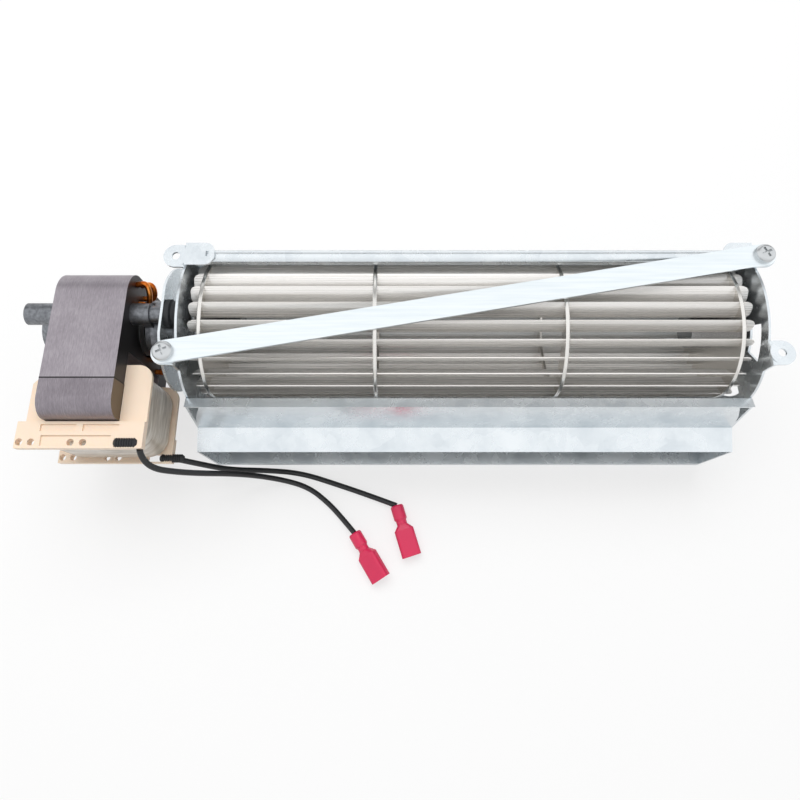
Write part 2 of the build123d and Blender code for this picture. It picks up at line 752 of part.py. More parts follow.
def plug_frame(points, tip, roll):
    """Placement of a terminal: its X runs from the wire end towards the tip."""
    x, y, z = points[-1]
    turn = degrees(atan2(tip[1] - y, tip[0] - x))
    return Pos(x, y, z) * Rot(0, 0, turn) * Rot(roll, 0, 0)


head_w = 9.2
head_t = 5.2
barrel_len = 9.0


def plug_sleeve():
    """Moulded insulator: round barrel, crimped waist and a flat open head."""
    barrel = turned([(0, 0), (0, 2.7), (0.6, 3.1), (6.4, 3.1), (7.4, 2.5), (barrel_len, 2.5), (barrel_len, 0)])
    back = Plane(origin=(barrel_len - 0.01, 0, 0), x_dir=(0, 1, 0), z_dir=(1, 0, 0))
    front = Plane(origin=(barrel_len + 2.6, 0, 0), x_dir=(0, 1, 0), z_dir=(1, 0, 0))
    shoulder = loft([back * RectangleRounded(4.6, 4.2, 1.6), front * RectangleRounded(head_w, head_t, 1.6)])
    head = extrude(front * RectangleRounded(head_w, head_t, 1.6), plug_len - barrel_len - 2.6)
    pocket = block(barrel_len + 2.6, plug_len + 1, -3.8, 3.8, -1.7, 1.7)
    return barrel + shoulder + head - pocket


def plug_socket():
    """Rolled tinned-brass receptacle inside the insulator."""
    x0, x1 = barrel_len + 2.8, plug_len - 2.5
    shell = block(x0, x1, -3.7, 3.7, -1.6, 1.6)
    shell -= block(x0 - 1, x1 + 1, -3.2, 3.2, -1.1, 1.1)
    shell -= block(x0 - 1, x1 + 1, -0.5, 0.5, 0.5, 3)
    return shell


# Build everything, shift it to the base and export one file a node.
builders = [left_end_plate, right_end_plate, scroll_back_wall, tongue_sheet, brace_strap, brace_screws,
            impeller_blades, middle_rings, drive_end_disc, idle_end_disc, drive_hub, hub_set_screw, idle_hub,
            stub_shaft, motor_shaft, idle_rubber_mount, idle_bearing, motor_c_core, motor_i_core, shading_rings,
            rotor_core, rotor_end_rings, coil_bobbin, coil_winding, drive_side_bracket, outer_side_bracket,
            drive_side_bearing, outer_side_bearing, bearing_retainers, stack_bolts, motor_mount_plate,
            motor_grommets, motor_mount_screws]
nodes = {f.__name__: f() for f in builders}

cords = {"lead_wire_a": lead("lead_wire_a", lead_a_points, wire_r),
         "lead_wire_b": lead("lead_wire_b", lead_b_points, wire_r)}
for letter, points, tip, roll in (("a", lead_a_points, plug_a_tip, 28), ("b", lead_b_points, plug_b_tip, 0)):
    place = plug_frame(points, tip, roll)
    cords["terminal_sleeve_" + letter] = place * plug_sleeve()
    cords["terminal_socket_" + letter] = place * plug_socket()

boxes = [s.bounding_box() for s in nodes.values()]
lo = [min(getattr(b.min, k) for b in boxes) for k in "XYZ"]
hi = [max(getattr(b.max, k) for b in boxes) for k in "XYZ"]
shift = (-(lo[0] + hi[0]) / 2, -(lo[1] + hi[1]) / 2, -lo[2])
print("size", [round(hi[i] - lo[i], 2) for i in range(3)])
print("wheel axis at", [round(v, 3) for v in shift])
for name, points in (("lead_wire_a", lead_a_points), ("lead_wire_b", lead_b_points)):
    print(name, "route", [tuple(round(p[i] + shift[i], 2) for i in range(3)) for p in points])

for name, shape in {**nodes, **cords}.items():
    moved = Pos(*shift) * shape
    bb = moved.bounding_box()
    print(name, len(moved.solids()), round(moved.volume, 1), [round(v, 1) for v in (bb.min.X, bb.min.Y, bb.min.Z)],
          [round(v, 1) for v in (bb.max.X, bb.max.Y, bb.max.Z)])
    export_step(moved, "parts/" + name + ".step")
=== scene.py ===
import bpy
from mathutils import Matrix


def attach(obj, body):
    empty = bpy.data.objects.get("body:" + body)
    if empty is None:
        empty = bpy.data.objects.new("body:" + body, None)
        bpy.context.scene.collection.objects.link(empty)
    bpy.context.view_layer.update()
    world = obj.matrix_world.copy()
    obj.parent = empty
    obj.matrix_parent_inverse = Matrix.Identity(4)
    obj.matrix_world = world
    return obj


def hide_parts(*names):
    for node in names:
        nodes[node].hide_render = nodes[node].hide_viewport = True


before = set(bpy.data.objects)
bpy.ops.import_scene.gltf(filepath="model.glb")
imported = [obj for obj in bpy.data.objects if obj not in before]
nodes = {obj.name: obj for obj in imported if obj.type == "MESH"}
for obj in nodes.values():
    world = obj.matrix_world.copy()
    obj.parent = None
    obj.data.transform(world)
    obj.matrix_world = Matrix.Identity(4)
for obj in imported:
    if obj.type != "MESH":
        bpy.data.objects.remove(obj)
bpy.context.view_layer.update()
import bpy
from math import atan2, cos, pi, radians, sin
from mathutils import Vector

MM = 0.001


# Camera: a phone held about 300 mm over the wheel, looking down at 70 degrees from the outlet side.
# The picture is cropped off centre, so the lens axis sits 70 pixels above its middle.
eye = (-0.55, -92.9, 333.4)         # mm
tilt_from_plumb = 20                # degrees
focal_px, picture_px = 671, 800     # focal length and picture width, pixels
lens_axis_px = (2, -70)             # shift of the lens axis, pixels
sensor_mm = 36
camera = bpy.data.objects.new("camera", bpy.data.cameras.new("camera"))
bpy.context.scene.collection.objects.link(camera)
camera.location = [v * MM for v in eye]
camera.rotation_euler = (radians(tilt_from_plumb), 0, 0)
camera.data.sensor_width = sensor_mm
camera.data.lens = sensor_mm * focal_px / picture_px
camera.data.shift_x = lens_axis_px[0] / picture_px
camera.data.shift_y = lens_axis_px[1] / picture_px
camera.data.clip_start = 10 * MM
bpy.context.scene.camera = camera


# Casing: two end plates, the scroll wall with its rolled lip, and the folded tongue sheet.
# Hot-dip galvanised sheet, 1 mm and 0.8 mm, laser or punch cut, bent and joined by folded tabs.
# The zinc has frozen in faint patches of crystals a few millimetres wide, some paler and duller.
def linear(hex_colour):
    """sRGB hex, as '#C8CCCE', to the linear colour that Blender's sockets take."""
    out = []
    for i in (1, 3, 5):
        c = int(hex_colour[i:i + 2], 16) / 255
        out.append(c / 12.92 if c <= 0.04045 else ((c + 0.055) / 1.055) ** 2.4)
    return (*out, 1.0)


def add_node(tree, kind, settings=None, links=None):
    """A shader node with its settings, by socket or property name, and its incoming links.

    The setting "stops" is a list of (position, sRGB hex) for a colour ramp.
    """
    node = tree.nodes.new(kind)
    for key, value in (settings or {}).items():
        if key == "stops":
            ramp = node.color_ramp.elements
            while len(ramp) < len(value):
                ramp.new(0.5)
            for stop, (position, colour) in zip(ramp, value):
                stop.position = position
                stop.color = linear(colour)
        elif isinstance(key, int) or key in node.inputs:
            node.inputs[key].default_value = value
        else:
            setattr(node, key, value)
    for key, source in (links or {}).items():
        tree.links.new(source, node.inputs[key])
    return node


def new_material(name, base, metallic, roughness, **more):
    """A material of one Principled shader, with its constants on the shader itself."""
    material = bpy.data.materials.new(name)
    material.use_nodes = True
    material.diffuse_color = linear(base)
    shader = material.node_tree.nodes["Principled BSDF"]
    shader.inputs["Base Color"].default_value = linear(base)
    shader.inputs["Metallic"].default_value = metallic
    shader.inputs["Roughness"].default_value = roughness
    for key, value in more.items():
        shader.inputs[key.replace("_", " ").title().replace("Ior", "IOR")].default_value = value
    return material, material.node_tree, shader


def finish_with(names, material):
    """Gives the CAD nodes named here this material and nothing else."""
    for name in names:
        nodes[name].data.materials.clear()
        nodes[name].data.materials.append(material)


def per_mm(*counts):
    """Pattern scale along x, y and z, from the number of marks in a millimetre."""
    return tuple(count / MM for count in counts)


crystal_size, cloud_size = 5.0, 14      # mm
crystal_share, cloud_share = 0.16, 0.85
galvanised, tree, shader = new_material("galvanised steel sheet", "#DCE1E4", 0.9, 0.27)
spot = add_node(tree, "ShaderNodeTexCoord")
crystals = add_node(tree, "ShaderNodeTexVoronoi", {"Scale": 1 / (crystal_size * MM), "Randomness": 1.0},
                    {"Vector": spot.outputs["Object"]})
cloud = add_node(tree, "ShaderNodeTexNoise",
                 {"Scale": 1 / (cloud_size * MM), "Detail": 4.0, "Roughness": 0.6},
                 {"Vector": spot.outputs["Object"]})
patch = add_node(tree, "ShaderNodeSeparateColor", None, {"Color": crystals.outputs["Color"]})
blend = add_node(tree, "ShaderNodeMath", {"operation": "MULTIPLY", 1: crystal_share},
                 {0: patch.outputs["Red"]})
total = add_node(tree, "ShaderNodeMath", {"operation": "MULTIPLY_ADD", 1: cloud_share},
                 {0: cloud.outputs["Fac"], 2: blend.outputs[0]})
tones = add_node(tree, "ShaderNodeValToRGB",
                 {"stops": [(0.3, "#D3D9DD"), (0.52, "#DEE3E6"), (0.75, "#E8ECEE")]},
                 {"Fac": total.outputs[0]})
tree.links.new(tones.outputs["Color"], shader.inputs["Base Color"])
dull = add_node(tree, "ShaderNodeMapRange",
                {"From Min": 0.2, "From Max": 0.9, "To Min": 0.22, "To Max": 0.32},
                {"Value": total.outputs[0]})
tree.links.new(dull.outputs["Result"], shader.inputs["Roughness"])
finish_with(["left_end_plate", "right_end_plate", "scroll_back_wall", "tongue_sheet",
             "motor_mount_plate"], galvanised)


# Brace strap: flat steel strip, 9.5 by 1.2 mm with round ends, screwed across the inlet corner to corner.
# Bright zinc plate over rolled strip: whiter and smoother than the casing, with long faint rolling streaks.
bright_zinc, tree, shader = new_material("bright zinc plated strip", "#E9EFF1", 1.0, 0.30)
strap_slant = -9.8                  # degrees, turns the streaks to the strap
spot = add_node(tree, "ShaderNodeTexCoord")
along = add_node(tree, "ShaderNodeMapping",
                 {"Rotation": (0, 0, radians(strap_slant)), "Scale": per_mm(0.04, 0.9, 0.9)},
                 {"Vector": spot.outputs["Object"]})
streaks = add_node(tree, "ShaderNodeTexNoise", {"Scale": 1.0, "Detail": 3.0},
                   {"Vector": along.outputs["Vector"]})
tones = add_node(tree, "ShaderNodeValToRGB", {"stops": [(0.3, "#E4EBEE"), (0.7, "#EFF4F6")]},
                 {"Fac": streaks.outputs["Fac"]})
tree.links.new(tones.outputs["Color"], shader.inputs["Base Color"])
finish_with(["brace_strap"], bright_zinc)


# Fasteners: M4 pan-head screws with a cross recess at the strap ends, and the motor's screws and studs.
# Clear zinc plated steel, cold headed, so the heads are smooth and a little duller than the strip.
plated_steel, _, _ = new_material("zinc plated fastener steel", "#C9CBCC", 1.0, 0.28)
finish_with(["brace_screws", "motor_mount_screws", "stack_bolts", "hub_set_screw",
             "bearing_retainers"], plated_steel)


# Wheel: 24 curved strips pushed through slots in two end discs and two middle rings, whose rims are beaded.
# Rolled aluminium, warm against the zinc, satin enough to scatter light inside, with fine lengthwise marks.
rolled_aluminium, tree, shader = new_material("bright rolled aluminium", "#F1EEEA", 0.35, 0.28)
spot = add_node(tree, "ShaderNodeTexCoord")
along = add_node(tree, "ShaderNodeMapping", {"Scale": per_mm(0.012, 1.4, 1.4)},
                 {"Vector": spot.outputs["Object"]})
marks = add_node(tree, "ShaderNodeTexNoise", {"Scale": 1.0, "Detail": 4.0, "Roughness": 0.65},
                 {"Vector": along.outputs["Vector"]})
tones = add_node(tree, "ShaderNodeValToRGB",
                 {"stops": [(0.25, "#DEDAD4"), (0.5, "#EFECE8"), (0.8, "#F8F6F4")]},
                 {"Fac": marks.outputs["Fac"]})
tree.links.new(tones.outputs["Color"], shader.inputs["Base Color"])
satin = add_node(tree, "ShaderNodeMapRange",
                 {"From Min": 0.3, "From Max": 0.7, "To Min": 0.20, "To Max": 0.34},
                 {"Value": marks.outputs["Fac"]})
tree.links.new(satin.outputs["Result"], shader.inputs["Roughness"])

# All in mm and degrees, in the frame of the record.
axis_y, axis_z = 9.725, 51.464      # wheel axis
mid_x = 28.95                       # middle of the casing
strip_count, first_strip = 24, 6.5  # number, and the turn of the first one
strip_inner_r, strip_tip_r = 23.0, 29.6
strip_lean = 9.2                    # the tip lags behind the inner edge
strip_bend = 46                     # turn of the strip's arc
strip_reach = 115.0                 # half of its length
strip_corner = 2.4
strip_half_gauge = 0.25
ring_places, ring_inner_r = (-39, 39), 21.6
disc_place, disc_bore_r = 110, 5.0
rim_beads = ((0.5, 29.3), (0.8, 29.6), (0.8, 29.95), (0.5, 30.2))    # half width and radius
ring_half_gauge = 0.5


def new_piece(name, points, faces, material, body):
    """A mesh given in mm, with flat faces kept flat and curved ones smooth, riding on a body."""
    mesh = bpy.data.meshes.new(name)
    mesh.from_pydata([(x * MM, y * MM, z * MM) for x, y, z in points], [], faces)
    mesh.update()
    mesh.shade_smooth()
    mesh.set_sharp_from_angle(angle=radians(35))
    mesh.materials.append(material)
    piece = bpy.data.objects.new(name, mesh)
    bpy.context.scene.collection.objects.link(piece)
    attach(piece, body)
    return piece


def turned(points, faces, profile, start=0.0, sweep=360.0, steps=120):
    """Adds a closed profile of (x, radius) turned about the wheel axis, with ends on a part turn."""
    full = sweep >= 360
    stations = steps if full else steps + 1
    base, n = len(points), len(profile)
    for k in range(stations):
        t = radians(start + sweep * k / steps)
        points += [(x, axis_y + r * cos(t), axis_z + r * sin(t)) for x, r in profile]
    for k in range(steps):
        a, b = base + k * n, base + (k + 1) % stations * n
        faces += [(a + i, a + (i + 1) % n, b + (i + 1) % n, b + i) for i in range(n)]
    if not full:
        faces.append(tuple(base + i for i in reversed(range(n))))
        faces.append(tuple(base + steps * n + i for i in range(n)))


def blade_strip(points, faces, turn):
    """Adds one strip: an arc from the inner edge to the tip, rounded off at both ends."""
    inner = Vector((strip_inner_r, 0.0))
    tip = strip_tip_r * Vector((cos(radians(strip_lean)), -sin(radians(strip_lean))))
    chord = tip - inner
    bend = radians(strip_bend)
    arc_r = chord.length / (2 * sin(bend / 2))
    normal = Vector((-chord.y, chord.x)).normalized()
    middle = (inner + tip) / 2 - normal * arc_r * cos(bend / 2)
    first = atan2(inner.y - middle.y, inner.x - middle.x)
    base, steps = len(points), 14
    arc_len = arc_r * bend
    for k in range(steps + 1):
        edge = min(arc_len * k / steps, arc_len * (steps - k) / steps)
        short = strip_corner - (strip_corner ** 2 - max(0.0, strip_corner - edge) ** 2) ** 0.5
        x = strip_reach - short
        a = first - bend * k / steps
        for r in (arc_r + strip_half_gauge, arc_r - strip_half_gauge):
            y, z = middle.x + r * cos(a), middle.y + r * sin(a)
            y, z = y * cos(turn) - z * sin(turn), y * sin(turn) + z * cos(turn)
            points += [(mid_x - x, axis_y + y, axis_z + z), (mid_x + x, axis_y + y, axis_z + z)]
    for k in range(steps):
        a = base + 4 * k
        faces += [(a, a + 1, a + 5, a + 4), (a + 2, a + 6, a + 7, a + 3),
                  (a, a + 4, a + 6, a + 2), (a + 1, a + 3, a + 7, a + 5)]
    last = base + 4 * steps
    faces += [(base, base + 2, base + 3, base + 1), (last, last + 1, last + 3, last + 2)]


blade_points, blade_faces = [], []
for k in range(strip_count):
    blade_strip(blade_points, blade_faces, radians(360 / strip_count * k + first_strip))
blades = new_piece("blade_strips", blade_points, blade_faces, rolled_aluminium, "wheel")
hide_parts("impeller_blades")

ring_metal, _, _ = new_material("pressed aluminium ring", "#E4E1DC", 1.0, 0.26)
for name, cad_node, places, inner_r in (("ring_pair", "middle_rings", ring_places, ring_inner_r),
                                        ("drive_disc", "drive_end_disc", (-disc_place,), disc_bore_r),
                                        ("idle_disc", "idle_end_disc", (disc_place,), disc_bore_r)):
    ring_points, ring_faces = [], []
    for place in places:
        x = mid_x + place
        turned(ring_points, ring_faces,
               [(x - ring_half_gauge, inner_r), (x + ring_half_gauge, inner_r),
                *((x + half, r) for half, r in rim_beads),
                *((x - half, r) for half, r in reversed(rim_beads))])
    ring = new_piece(name, ring_points, ring_faces, ring_metal, "wheel")
    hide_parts(cad_node)


# Webs of the end plates: the photo shows the plates nearly closed round the wheel, with one short window
# at the right. These sectors of the same sheet close the rest of the plates' larger cut-outs.
plate_gauge, inset = 1.0, 0.02      # the webs lie a hair inside both faces of the plate
web_inner_r, web_outer_r = 19.6, 29.9
for name, plate_x, spans in (
        ("left_plate_web", mid_x - 118, ((-38, 38), (142, 218))),
        ("right_plate_web", mid_x + 117,
         ((-30, 48), (60, 105), (151, 177), (211, 228), (240, 249), (283, 318)))):
    x0, x1 = plate_x + inset, plate_x + plate_gauge - inset
    web_points, web_faces = [], []
    for start, end in spans:
        turned(web_points, web_faces,
               [(x0, web_inner_r), (x1, web_inner_r), (x1, web_outer_r), (x0, web_outer_r)],
               start, end - start, 24)
    new_piece(name, web_points, web_faces, galvanised, "casing")


# Shafts and hubs: a 5 mm motor shaft and a stub shaft, each held in a turned collar pressed into its disc.
# Ground and turned steel, with a light oil film.
ground_steel, _, _ = new_material("ground steel", "#A9AAAC", 1.0, 0.26)
finish_with(["drive_hub", "idle_hub", "stub_shaft", "motor_shaft"], ground_steel)


# Bearings: self-aligning balls in the two motor brackets and in the rubber mount of the free end.
# Sintered bronze, oil soaked, dull brown.
sintered_bronze, _, _ = new_material("oiled sintered bronze", "#8F7350", 1.0, 0.55)
finish_with(["drive_side_bearing", "outer_side_bearing", "idle_bearing"], sintered_bronze)


# Rubber parts: the mount of the idle bearing and the two ribbed bushes between motor and casing.
# Moulded black rubber with a matt skin.
black_rubber, _, _ = new_material("moulded black rubber", "#232426", 0.0, 0.62)
finish_with(["idle_rubber_mount", "motor_grommets"], black_rubber)


# Motor iron: a C stack with the rotor bore and the straight limb that closes it, about 59 sheets of 0.5 mm.
# Varnished electrical steel, purplish grey, the cut edges as very fine lines; the ends are painted nearly
# black, which is painted shade.
# A thin dark line of varnish shows where the limb butts against the C.
line_pitch, stain_size = 0.6, 12    # mm
line_share, grain_share, stain_share = 0.22, 0.55, 0.45
for name, cad_nodes, edge_tones_and_limb_shade, painted_end_shade in (
        ("varnished lamination edges, ends in painted shade", ["motor_c_core", "rotor_core"],
         [(0.42, "#8C858B"), (0.62, "#9D969C"), (0.85, "#B2ABB0")], "#3B3839"),
        # The limb is the same steel: its darker edge tones are painted shade, and its brownish end colour
        # is a painted reflection.
        ("varnished limb edges, darkened as painted shade", ["motor_i_core"],
         [(0.42, "#7A7379"), (0.62, "#8B848A"), (0.85, "#A19A9F")], "#6E6252")):
    laminations, tree, shader = new_material(name, "#96909A", 0.8, 0.42)
    spot = add_node(tree, "ShaderNodeTexCoord")
    place = add_node(tree, "ShaderNodeSeparateXYZ", None, {"Vector": spot.outputs["Object"]})
    facing = add_node(tree, "ShaderNodeSeparateXYZ", None, {"Vector": spot.outputs["Normal"]})
    lines = add_node(tree, "ShaderNodeTexNoise",
                     {"noise_dimensions": "1D", "Scale": 1 / (line_pitch * MM), "Detail": 2.0,
                      "Roughness": 0.6}, {"W": place.outputs["X"]})
    stretch = add_node(tree, "ShaderNodeMapping", {"Scale": per_mm(2.0, 0.4, 0.4)},
                       {"Vector": spot.outputs["Object"]})
    grain = add_node(tree, "ShaderNodeTexNoise", {"Scale": 1.0, "Detail": 3.0, "Roughness": 0.7},
                     {"Vector": stretch.outputs["Vector"]})
    stain = add_node(tree, "ShaderNodeTexNoise", {"Scale": 1 / (stain_size * MM), "Detail": 3.0},
                     {"Vector": spot.outputs["Object"]})
    faint = add_node(tree, "ShaderNodeMath", {"operation": "MULTIPLY", 1: line_share},
                     {0: lines.outputs["Fac"]})
    fine = add_node(tree, "ShaderNodeMath", {"operation": "MULTIPLY_ADD", 1: grain_share},
                    {0: grain.outputs["Fac"], 2: faint.outputs[0]})
    mixed = add_node(tree, "ShaderNodeMath", {"operation": "MULTIPLY_ADD", 1: stain_share},
                     {0: stain.outputs["Fac"], 2: fine.outputs[0]})
    tones = add_node(tree, "ShaderNodeValToRGB", {"stops": edge_tones_and_limb_shade}, {"Fac": mixed.outputs[0]})
    # Faces across the stack, its two ends, take a flat dark colour: painted shade, not the steel's own
    # tone.
    sideways = add_node(tree, "ShaderNodeMath", {"operation": "ABSOLUTE"}, {0: facing.outputs["X"]})
    painted_shade_on_ends = add_node(tree, "ShaderNodeMath", {"operation": "GREATER_THAN", 1: 0.8},
                      {0: sideways.outputs[0]})
    skin = add_node(tree, "ShaderNodeMix", {"data_type": "RGBA"},
                    {0: painted_shade_on_ends.outputs[0], 6: tones.outputs["Color"]})
    skin.inputs[7].default_value = linear(painted_end_shade)
    tree.links.new(skin.outputs[2], shader.inputs["Base Color"])
    ridges = add_node(tree, "ShaderNodeBump", {"Strength": 0.10, "Distance": 0.05 * MM},
                      {"Height": mixed.outputs[0]})
    tree.links.new(ridges.outputs["Normal"], shader.inputs["Normal"])
    finish_with(cad_nodes, laminations)

stack_left, stack_right = mid_x - 170.0, mid_x - 140.6
joint_y = -30.2                     # where the limb meets the C, from the wheel axis
seam_half, seam_proud = 0.28, 0.04
seam_spans = ((18.55, 29.04), (-29.04, -18.55))
joint_varnish, _, _ = new_material("dark varnish in the joint", "#141214", 0.0, 0.6)
seam_points, seam_faces = [], []
for z0, z1 in seam_spans:
    base = len(seam_points)
    seam_points += [(x, axis_y + joint_y + y, axis_z + z)
                    for x in (stack_left - seam_proud, stack_right + seam_proud)
                    for y in (-seam_half, seam_half) for z in (z0, z1)]
    seam_faces += [tuple(base + i for i in face) for face in
                   ((0, 1, 3, 2), (4, 6, 7, 5), (0, 4, 5, 1), (2, 3, 7, 6), (0, 2, 6, 4), (1, 5, 7, 3))]
new_piece("joint_line", seam_points, seam_faces, joint_varnish, "casing")


# Rotor ends and brackets: the cage rings are cast aluminium; the two bridges that carry the bearings
# are die-cast zinc alloy, tumbled grey, with a conical middle and a bored post at each end.
cast_aluminium, _, _ = new_material("cast aluminium", "#B4B4B4", 1.0, 0.45)
finish_with(["rotor_end_rings"], cast_aluminium)
die_cast, tree, shader = new_material("tumbled die-cast zinc", "#7F8185", 1.0, 0.42)
spot = add_node(tree, "ShaderNodeTexCoord")
grain = add_node(tree, "ShaderNodeTexNoise", {"Scale": 1 / (1.5 * MM), "Detail": 3.0},
                 {"Vector": spot.outputs["Object"]})
tones = add_node(tree, "ShaderNodeValToRGB", {"stops": [(0.3, "#6C6E72"), (0.7, "#909296")]},
                 {"Fac": grain.outputs["Fac"]})
tree.links.new(tones.outputs["Color"], shader.inputs["Base Color"])
finish_with(["drive_side_bracket", "outer_side_bracket"], die_cast)


# Shading rings: closed loops of bare copper rod, two through each pole of the stack, brazed shut.
# They stand off the wheel side of the iron as round bows; bright orange where fresh, browner in the bends.
bare_copper, tree, shader = new_material("bare copper rod", "#E8853A", 1.0, 0.28)
spot = add_node(tree, "ShaderNodeTexCoord")
bloom = add_node(tree, "ShaderNodeTexNoise", {"Scale": 1 / (3 * MM), "Detail": 3.0},
                 {"Vector": spot.outputs["Object"]})
tones = add_node(tree, "ShaderNodeValToRGB", {"stops": [(0.35, "#C4601F"), (0.6, "#F09A4C")]},
                 {"Fac": bloom.outputs["Fac"]})
tree.links.new(tones.outputs["Color"], shader.inputs["Base Color"])
rod_r = 1.15                        # mm
bow_ends = (((6.6, 14.8), (13.0, 20.4)), ((10.8, 10.4), (15.2, 14.6)))    # y, z of both legs of a bow
bows = bpy.data.curves.new("copper_bows", "CURVE")
bows.dimensions = "3D"
bows.bevel_depth = rod_r * MM
bows.bevel_resolution = 4
bows.resolution_u = 10
for side in (1, -1):
    for near, far in bow_ends:
        gap = (far[0] - near[0], far[1] - near[1])
        loop = [(stack_right - 6, 0), (stack_right + 0.5, 0), (stack_right + 4.2, -0.1),
                (stack_right + 5.2, 0.5), (stack_right + 4.2, 1.1), (stack_right + 0.5, 1),
                (stack_right - 6, 1), (stack_left + 6, 1), (stack_left - 1.6, 1),
                (stack_left - 2.0, 0.5), (stack_left - 1.6, 0), (stack_left + 6, 0)]    # x, share of gap
        line = bows.splines.new("NURBS")
        line.points.add(len(loop) - 1)
        for point, (x, share) in zip(line.points, loop):
            y, z = side * (near[0] + gap[0] * share), side * (near[1] + gap[1] * share)
            point.co = (x * MM, (axis_y + y) * MM, (axis_z + z) * MM, 1)
        line.order_u = 3
        line.use_cyclic_u = True
bows.materials.append(bare_copper)
copper = bpy.data.objects.new("copper_bows", bows)
bpy.context.scene.collection.objects.link(copper)
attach(copper, "casing")
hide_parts("shading_rings")


# Bobbin: one moulding of natural nylon, with a sleeve round the limb, two flanges, raised terminal blocks
# along the front edge and small holes for the winding ends. Warm beige, faintly translucent, satin skin.
natural_nylon, tree, shader = new_material("natural moulded nylon", "#F3DEC8", 0.0, 0.45,
                                           subsurface_weight=0.12)
shader.inputs["Subsurface Radius"].default_value = (1.0, 0.6, 0.35)
shader.inputs["Subsurface Scale"].default_value = 1.5 * MM
finish_with(["coil_bobbin"], natural_nylon)


# Lead sleeves: short ribbed tubes of black rubber that carry the winding ends through the flange slots,
# one lying in the slot of the upper flange and one round the lower lead, where it leaves the bobbin.
rib_pitch, plain_end = 1.1, 0.9     # mm
tip_r, chamfer = 0.02, 0.25
for name, x0, x1, y, z, radius in (("upper_lead_sleeve", -141.1, -131.4, -54.25, 19.6, 2.0),
                                   ("lower_lead_sleeve", -135.3, -124.2, -54.3, -17.7, 1.9)):
    ribs = int((x1 - x0) / rib_pitch)
    pitch = (x1 - x0 - 2 * plain_end) / ribs
    outline = [(x0, tip_r), (x0 + chamfer, radius * 0.6), (x0 + plain_end, radius * 0.88)]
    for k in range(ribs):
        left = x0 + plain_end + k * pitch
        outline += [(left + pitch * 0.25, radius), (left + pitch * 0.65, radius),
                    (left + pitch * 0.95, radius * 0.84)]
    outline += [(x1 - chamfer, radius * 0.6), (x1, tip_r)]
    sleeve_points, sleeve_faces, sides = [], [], 20
    for x, rr in outline:
        for i in range(sides):
            t = 2 * pi * i / sides
            sleeve_points.append((mid_x + x, axis_y + y + rr * cos(t), axis_z + z + rr * sin(t)))
    for k in range(len(outline) - 1):
        for i in range(sides):
            j = (i + 1) % sides
            sleeve_faces.append((k * sides + i, k * sides + j, (k + 1) * sides + j, (k + 1) * sides + i))
    sleeve_faces.append(tuple(reversed(range(sides))))
    sleeve_faces.append(tuple(range((len(outline) - 1) * sides, len(outline) * sides)))
    new_piece(name, sleeve_points, sleeve_faces, black_rubber, "casing")


# Coil: enamelled copper wire wound on the bobbin and wrapped in layers of clear yellowish film tape,
# which creases round the corners and shows the dark winding under it in streaks.
film_tape, tree, shader = new_material("clear film tape over winding", "#B0A698", 0.0, 0.32,
                                       coat_weight=0.5, coat_roughness=0.15)
spot = add_node(tree, "ShaderNodeTexCoord")
along = add_node(tree, "ShaderNodeMapping", {"Scale": per_mm(0.09, 0.09, 0.42)},
                 {"Vector": spot.outputs["Object"]})
wraps = add_node(tree, "ShaderNodeTexNoise", {"Scale": 1.0, "Detail": 4.0, "Distortion": 0.6},
                 {"Vector": along.outputs["Vector"]})
tones = add_node(tree, "ShaderNodeValToRGB",
                 {"stops": [(0.3, "#A09484"), (0.5, "#C1B6A7"), (0.72, "#E0DACF")]},
                 {"Fac": wraps.outputs["Fac"]})
tree.links.new(tones.outputs["Color"], shader.inputs["Base Color"])
creases = add_node(tree, "ShaderNodeBump", {"Strength": 0.25, "Distance": 0.2 * MM},
                   {"Height": wraps.outputs["Fac"]})
tree.links.new(creases.outputs["Normal"], shader.inputs["Normal"])
finish_with(["coil_winding"], film_tape)


# Leads: two limp stranded wires, 2.5 mm over black insulation, from the bobbin down to the table and out
# to the front. Their whole length shows: 128 mm and 115 mm, each ending in a push-on terminal.
black_insulation, _, _ = new_material("black wire insulation", "#17181A", 0.0, 0.40)
wire_dia = 2.5                      # mm over the insulation


def lead(name, cad_node, points):
    """A wire along the CAD route, as one smooth line through the middles of its runs."""
    curve = bpy.data.curves.new(name, "CURVE")
    curve.dimensions = "3D"
    curve.bevel_depth = wire_dia / 2 * MM
    curve.bevel_resolution = 5
    curve.use_fill_caps = True
    curve.resolution_u = 16
    line = curve.splines.new("NURBS")
    line.points.add(len(points) - 1)
    for point, (x, y, z) in zip(line.points, points):
        point.co = (x * MM, y * MM, z * MM, 1)
    line.order_u = 3
    line.use_endpoint_u = True
    wire = bpy.data.objects.new(name, curve)
    bpy.context.scene.collection.objects.link(wire)
    curve.materials.append(black_insulation)
    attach(wire, "casing")
    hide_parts(cad_node)


lead("lead_a", "lead_wire_a",
     [(-102.45, -46.67, 68.76), (-102.05, -52.87, 64.06), (-90.05, -53.27, 49.96),
      (-70.55, -49.87, 23.46), (-55.55, -49.87, 1.9), (-43.55, -53.47, 1.3), (-34.05, -60.67, 1.3),
      (-27.05, -67.87, 2.2), (-21.05, -74.67, 4.0)])
lead("lead_b", "lead_wire_b",
     [(-100.65, -44.47, 33.86), (-92.05, -46.07, 31.46), (-80.05, -46.87, 15.46),
      (-65.05, -45.17, 1.5), (-47.55, -46.47, 1.3), (-28.45, -52.47, 1.3), (-12.55, -57.87, 2.1),
      (-1.25, -62.07, 3.2)])


# Terminals: push-on receptacles, 6.3 mm, of rolled tinned brass, crimped inside a moulded sleeve.
# The sleeve is see-through crimson nylon; the metal shows in its open end as a pale shape.
crimson_nylon, _, _ = new_material("see-through crimson nylon", "#EE2F63", 0.0, 0.28,
                                   transmission_weight=0.30)
tinned_brass, _, _ = new_material("tinned brass", "#C9C6BE", 1.0, 0.35)
finish_with(["terminal_sleeve_a", "terminal_sleeve_b"], crimson_nylon)
finish_with(["terminal_socket_a", "terminal_socket_b"], tinned_brass)


